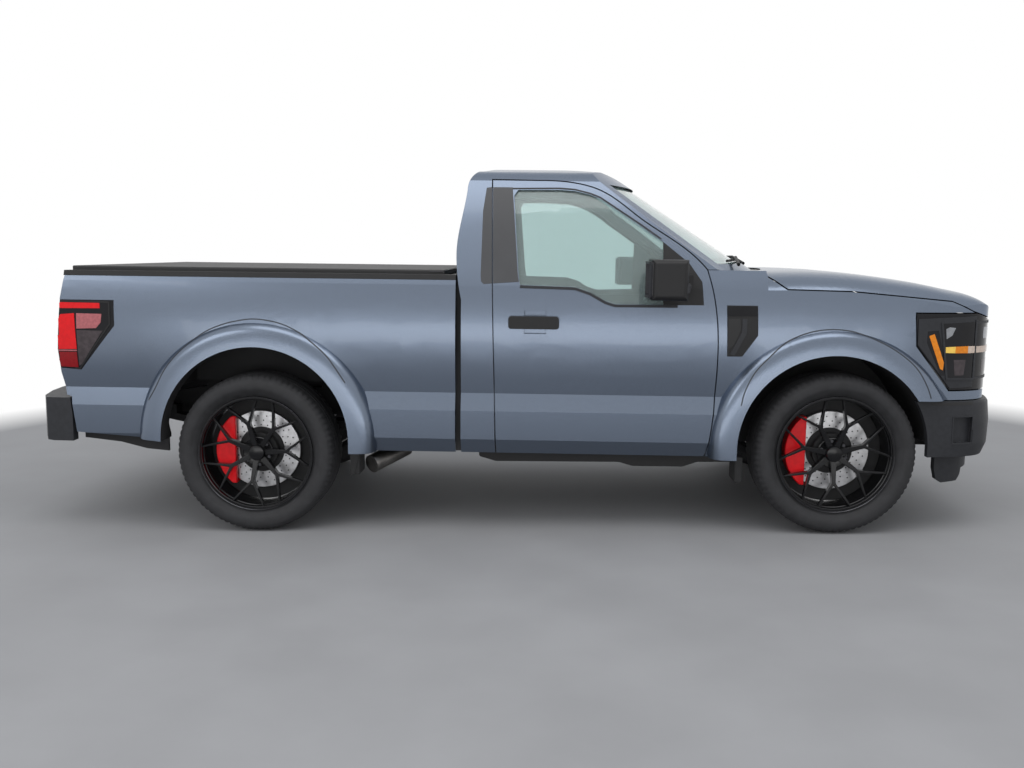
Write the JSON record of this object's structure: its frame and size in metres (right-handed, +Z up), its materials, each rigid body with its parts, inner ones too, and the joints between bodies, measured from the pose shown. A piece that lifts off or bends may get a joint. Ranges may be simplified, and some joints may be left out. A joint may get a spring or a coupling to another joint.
{
  "type": "pickup truck",
  "caption": "Full-size regular-cab pickup truck with a covered load bed, flared arches, opening doors, hood, tailgate and bed lid, and steered front wheels.",
  "frame": {"origin": "on the ground under the middle of the truck's length, on its centre plane", "axes": "+X towards the front bumper, +Y to the truck's left, +Z up"},
  "size_m": [5.3098, 2.43, 1.9957],
  "materials": {
    "body_paint": "metallic clearcoat",
    "charcoal_plastic": "fine grain",
    "black_plastic": "moulded",
    "clear_glass": "clear",
    "lamp_clear": "clear lens",
    "lamp_red": "tinted lens",
    "gloss_black": "gloss",
    "frame_black": "chassis paint",
    "cast_metal": "as cast",
    "alloy": "gloss black",
    "tyre_rubber": "matt",
    "steel": "brushed",
    "seat_cloth": "woven",
    "inner_trim": "grained"
  },
  "bodies": {
    "truck": {"bed_box": "body_paint", "bed_sides": "body_paint", "bench_seat": "seat_cloth", "cab_glass": "clear_glass", "cab_shell": "body_paint", "carrier": "frame_black", "chassis_frame": "frame_black", "cowl": "black_plastic", "dashboard": "inner_trim", "exhaust": "steel", "fender_vents": "black_plastic", "front_bumper": "charcoal_plastic", "front_fenders": "body_paint", "fuel_tank": "black_plastic", "grille": "gloss_black", "headlamps": "lamp_clear", "powertrain": "cast_metal", "rail_caps": "black_plastic", "rear_axle": "frame_black", "rear_bumper": "charcoal_plastic", "steering_wheel": "inner_trim", "suspension": "frame_black", "tail_lamps": "lamp_red", "wheel_liners": "black_plastic"},
    "door_right": {"door_right": "body_paint", "door_glass_right": "clear_glass", "mirror_right": "charcoal_plastic", "handle_right": "black_plastic"},
    "door_left": {"door_left": "body_paint", "door_glass_left": "clear_glass", "mirror_left": "charcoal_plastic", "handle_left": "black_plastic"},
    "hood": {"hood": "body_paint"},
    "tailgate": {"tailgate": "body_paint"},
    "tonneau": {"tonneau": "black_plastic"},
    "knuckle_right": {"knuckle_right": "cast_metal"},
    "knuckle_left": {"knuckle_left": "cast_metal"},
    "wheel_front_right": {"tyre_front_right": "tyre_rubber", "rim_front_right": "alloy"},
    "wheel_front_left": {"tyre_front_left": "tyre_rubber", "rim_front_left": "alloy"},
    "wheel_rear_right": {"tyre_rear_right": "tyre_rubber", "rim_rear_right": "alloy"},
    "wheel_rear_left": {"tyre_rear_left": "tyre_rubber", "rim_rear_left": "alloy"}
  },
  "joints": [
    {"name": "door_right_hinge", "type": "hinge", "parent": "truck", "child": "door_right", "pos_m": [1.0705, -0.975, 1.01015], "axis": [0.0157, 0, 0.9999], "range_deg": [0, 65]},
    {"name": "door_left_hinge", "type": "hinge", "parent": "truck", "child": "door_left", "pos_m": [1.0705, 0.975, 1.01015], "axis": [-0.0157, 0, -0.9999], "range_deg": [0, 65]},
    {"name": "hood_hinge", "type": "hinge", "parent": "truck", "child": "hood", "pos_m": [1.33077, 0, 1.40712], "axis": [0, -1, 0], "range_deg": [0, 50]},
    {"name": "tailgate_hinge", "type": "hinge", "parent": "truck", "child": "tailgate", "pos_m": [-2.41975, 0, 0.79895], "axis": [0, -1, 0], "range_deg": [0, 90]},
    {"name": "tonneau_hinge", "type": "hinge", "parent": "truck", "child": "tonneau", "pos_m": [-0.37027, 0, 1.41784], "axis": [0, 1, 0], "range_deg": [0, 25]},
    {"name": "steer_left", "type": "hinge", "parent": "truck", "child": "knuckle_left", "pos_m": [1.7125, 0.75, 0.432], "axis": [0.0157, 0, 0.9999], "range_deg": [-30, 30]},
    {"name": "steer_right", "type": "hinge", "parent": "truck", "child": "knuckle_right", "pos_m": [1.7125, -0.75, 0.432], "axis": [0.0157, 0, 0.9999], "range_deg": [-30, 30]},
    {"name": "wheel_front_right_spin", "type": "hinge", "parent": "knuckle_right", "child": "wheel_front_right", "pos_m": [1.7125, -0.82, 0.432], "axis": [0, 1, 0], "continuous": true},
    {"name": "wheel_front_left_spin", "type": "hinge", "parent": "knuckle_left", "child": "wheel_front_left", "pos_m": [1.7125, 0.82, 0.432], "axis": [0, 1, 0], "continuous": true},
    {"name": "wheel_rear_right_spin", "type": "hinge", "parent": "truck", "child": "wheel_rear_right", "pos_m": [-1.4065, -0.82, 0.432], "axis": [0, 1, 0], "continuous": true},
    {"name": "wheel_rear_left_spin", "type": "hinge", "parent": "truck", "child": "wheel_rear_left", "pos_m": [-1.4065, 0.82, 0.432], "axis": [0, 1, 0], "continuous": true}
  ],
  "couplings": [
    {"joint": "steer_right", "follows": "steer_left", "ratio": 1}
  ]
}
